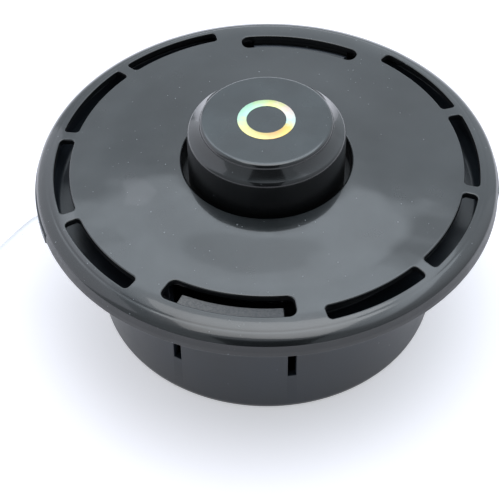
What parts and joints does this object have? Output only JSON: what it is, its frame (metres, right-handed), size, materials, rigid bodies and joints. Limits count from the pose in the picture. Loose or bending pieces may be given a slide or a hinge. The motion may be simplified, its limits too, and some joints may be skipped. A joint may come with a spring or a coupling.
{
  "type": "trimmer head",
  "caption": "Bump-feed line head for a grass trimmer: round slotted cover, latched drum with spool inside, central bump knob and a free end of cutting line.",
  "frame": {"origin": "centre of the drum's base, on the head's axis", "axes": "+Z along the axis from the machine side to the bump knob; the latch tongues stand at -Y and +Y; the line leaves near -X"},
  "size_m": [0.2051, 0.16, 0.0802],
  "materials": {
    "housing_plastic": "satin moulded nylon",
    "cover_plastic": "semi-gloss moulded nylon",
    "knob_plastic": "semi-gloss moulded nylon",
    "foil": "iridescent foil",
    "spool_plastic": "matte moulded nylon",
    "nylon_line": "clear drawn nylon",
    "spring_steel": "drawn spring wire",
    "zinc_steel": "bright zinc",
    "eyelet_metal": "polished"
  },
  "bodies": {
    "housing": {"drum_housing": "housing_plastic", "slotted_cover": "cover_plastic", "line_eyelet_left": "eyelet_metal", "line_eyelet_right": "eyelet_metal", "drive_nut": "zinc_steel", "nut_washer": "zinc_steel", "spring_washer_lower": "zinc_steel", "bump_spring": "spring_steel", "line_free_end": "nylon_line", "line_end_right": "nylon_line"},
    "spring_follower": {"spring_washer_upper": "zinc_steel"},
    "spool": {"line_spool": "spool_plastic", "bump_knob": "knob_plastic", "foil_ring": "foil", "line_winding_upper": "nylon_line", "line_winding_lower": "nylon_line"}
  },
  "joints": [
    {"name": "knob_bump", "type": "slide", "parent": "housing", "child": "spring_follower", "axis": [0, 0, -1], "range_m": [0, 0.007], "stiffness_N_per_m": 3000, "springref_m": -0.003, "deforming": ["bump_spring"]},
    {"name": "spool_turn", "type": "hinge", "parent": "spring_follower", "child": "spool", "pos_m": [0, 0, 0.05], "axis": [0, 0, 1], "range_deg": [-60, 0]}
  ]
}
